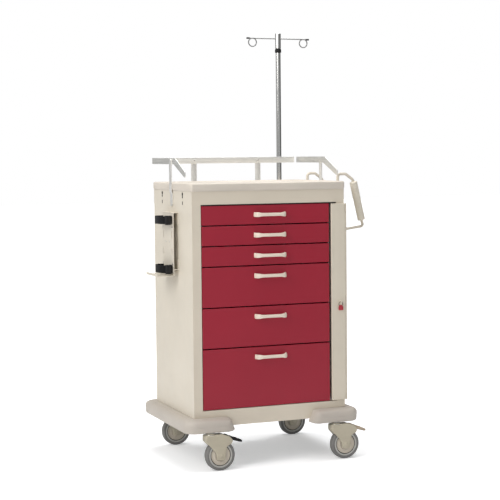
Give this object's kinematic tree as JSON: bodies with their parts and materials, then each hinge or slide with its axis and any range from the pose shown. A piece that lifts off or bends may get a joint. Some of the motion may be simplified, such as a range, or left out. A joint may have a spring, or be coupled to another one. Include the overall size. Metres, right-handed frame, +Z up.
{
  "type": "crash cart",
  "caption": "Wheeled steel emergency cart with sliding drawers, hinged lock bar, guard rails, push handles, tank bracket and telescopic fluid pole.",
  "frame": {"origin": "middle of the overall width and depth, on the floor under the wheels", "axes": "+Z up, -Y towards the drawer fronts, +X to the right seen from the front"},
  "size_m": [0.9028, 0.6, 1.808],
  "materials": {
    "light_paint": "smooth beige powder coat",
    "red_paint": "dark red powder coat",
    "taupe_paint": "taupe powder coat",
    "taupe_plastic": "matt moulded bumper",
    "cream_plastic": "satin moulded",
    "black_plastic": "matt black",
    "black_webbing": "woven webbing",
    "seal_plastic": "red moulded",
    "bright_steel": "bright",
    "zinc_steel": "zinc plated",
    "grey_wheel": "grey tread on a moulded core"
  },
  "bodies": {
    "cabinet": {"left_side_panel": "light_paint", "right_side_panel": "light_paint", "front_frame": "light_paint", "back_panel": "light_paint", "base_pan": "zinc_steel", "top_cover": "cream_plastic", "left_bumper": "taupe_plastic", "right_bumper": "taupe_plastic", "left_slide_rack": "zinc_steel", "right_slide_rack": "zinc_steel", "left_rail": "bright_steel", "right_rail": "bright_steel", "back_rail": "bright_steel", "pole_bracket": "light_paint", "iv_pole_tube": "bright_steel", "oxygen_bracket": "light_paint", "lock_bar_hinge": "zinc_steel", "push_handle_front": "light_paint", "push_handle_front_grip": "cream_plastic", "push_handle_rear": "light_paint", "push_handle_rear_grip": "cream_plastic", "strap_upper": "black_webbing", "strap_lower": "black_webbing", "strap_buckle_upper": "black_plastic", "strap_buckle_lower": "black_plastic"},
    "drawer_1": {"drawer_1_front": "red_paint", "drawer_1_tray": "zinc_steel", "drawer_1_pull": "cream_plastic"},
    "drawer_2": {"drawer_2_front": "red_paint", "drawer_2_tray": "zinc_steel", "drawer_2_pull": "cream_plastic"},
    "drawer_3": {"drawer_3_front": "red_paint", "drawer_3_tray": "zinc_steel", "drawer_3_pull": "cream_plastic"},
    "drawer_4": {"drawer_4_front": "red_paint", "drawer_4_tray": "zinc_steel", "drawer_4_pull": "cream_plastic"},
    "drawer_5": {"drawer_5_front": "red_paint", "drawer_5_tray": "zinc_steel", "drawer_5_pull": "cream_plastic"},
    "drawer_6": {"drawer_6_front": "red_paint", "drawer_6_tray": "zinc_steel", "drawer_6_pull": "cream_plastic"},
    "lock_bar": {"lock_bar": "light_paint", "breakaway_seal": "seal_plastic"},
    "caster_fl": {"caster_fl_fork": "taupe_paint"},
    "wheel_fl": {"caster_fl_wheel": "grey_wheel"},
    "pedal_fl": {"brake_pedal_fl": "black_plastic"},
    "caster_fr": {"caster_fr_fork": "taupe_paint"},
    "wheel_fr": {"caster_fr_wheel": "grey_wheel"},
    "pedal_fr": {"brake_pedal_fr": "cream_plastic"},
    "caster_rl": {"caster_rl_fork": "taupe_paint"},
    "wheel_rl": {"caster_rl_wheel": "grey_wheel"},
    "caster_rr": {"caster_rr_fork": "taupe_paint"},
    "wheel_rr": {"caster_rr_wheel": "grey_wheel"},
    "pole_collar": {"iv_twist_collar": "black_plastic"},
    "iv_rod": {"iv_pole_rod": "bright_steel"},
    "iv_head": {"iv_hook_head": "bright_steel", "iv_hooks": "bright_steel"}
  },
  "joints": [
    {"name": "drawer_1_slide", "type": "slide", "parent": "cabinet", "child": "drawer_1", "axis": [0, -1, 0], "range_m": [0, 0.34]},
    {"name": "drawer_2_slide", "type": "slide", "parent": "cabinet", "child": "drawer_2", "axis": [0, -1, 0], "range_m": [0, 0.34]},
    {"name": "drawer_3_slide", "type": "slide", "parent": "cabinet", "child": "drawer_3", "axis": [0, -1, 0], "range_m": [0, 0.34]},
    {"name": "drawer_4_slide", "type": "slide", "parent": "cabinet", "child": "drawer_4", "axis": [0, -1, 0], "range_m": [0, 0.34]},
    {"name": "drawer_5_slide", "type": "slide", "parent": "cabinet", "child": "drawer_5", "axis": [0, -1, 0], "range_m": [0, 0.34]},
    {"name": "drawer_6_slide", "type": "slide", "parent": "cabinet", "child": "drawer_6", "axis": [0, -1, 0], "range_m": [0, 0.34]},
    {"name": "lock_bar_hinge_joint", "type": "hinge", "parent": "cabinet", "child": "lock_bar", "pos_m": [0.31775, -0.247, 0.653], "axis": [0, 0, 1], "range_deg": [0, 110]},
    {"name": "caster_fl_swivel", "type": "hinge", "parent": "cabinet", "child": "caster_fl", "pos_m": [-0.30125, -0.276, 0.148], "axis": [0, 0, 1], "continuous": true},
    {"name": "wheel_fl_spin", "type": "hinge", "parent": "caster_fl", "child": "wheel_fl", "pos_m": [-0.26325, -0.276, 0.062], "axis": [0, 1, 0], "continuous": true},
    {"name": "brake_pedal_fl_press", "type": "hinge", "parent": "caster_fl", "child": "pedal_fl", "pos_m": [-0.24125, -0.276, 0.139], "axis": [0, 1, 0], "range_deg": [0, 10]},
    {"name": "caster_fr_swivel", "type": "hinge", "parent": "cabinet", "child": "caster_fr", "pos_m": [0.25475, -0.276, 0.148], "axis": [0, 0, 1], "continuous": true},
    {"name": "wheel_fr_spin", "type": "hinge", "parent": "caster_fr", "child": "wheel_fr", "pos_m": [0.29275, -0.276, 0.062], "axis": [0, 1, 0], "continuous": true},
    {"name": "brake_pedal_fr_press", "type": "hinge", "parent": "caster_fr", "child": "pedal_fr", "pos_m": [0.31475, -0.276, 0.139], "axis": [0, 1, 0], "range_deg": [0, 10]},
    {"name": "caster_rl_swivel", "type": "hinge", "parent": "cabinet", "child": "caster_rl", "pos_m": [-0.30125, 0.276, 0.148], "axis": [0, 0, 1], "continuous": true},
    {"name": "wheel_rl_spin", "type": "hinge", "parent": "caster_rl", "child": "wheel_rl", "pos_m": [-0.26325, 0.276, 0.062], "axis": [0, 1, 0], "continuous": true},
    {"name": "caster_rr_swivel", "type": "hinge", "parent": "cabinet", "child": "caster_rr", "pos_m": [0.25475, 0.276, 0.148], "axis": [0, 0, 1], "continuous": true},
    {"name": "wheel_rr_spin", "type": "hinge", "parent": "caster_rr", "child": "wheel_rr", "pos_m": [0.29275, 0.276, 0.062], "axis": [0, 1, 0], "continuous": true},
    {"name": "pole_collar_twist", "type": "hinge", "parent": "cabinet", "child": "pole_collar", "pos_m": [0.24075, 0.278, 1.722], "axis": [0, 0, 1], "range_deg": [0, 90]},
    {"name": "iv_pole_slide", "type": "slide", "parent": "cabinet", "child": "iv_rod", "axis": [0, 0, 1], "range_m": [0, 0.45]},
    {"name": "iv_head_swivel", "type": "hinge", "parent": "iv_rod", "child": "iv_head", "pos_m": [0.24075, 0.278, 1.74], "axis": [0, 0, 1], "continuous": true}
  ]
}
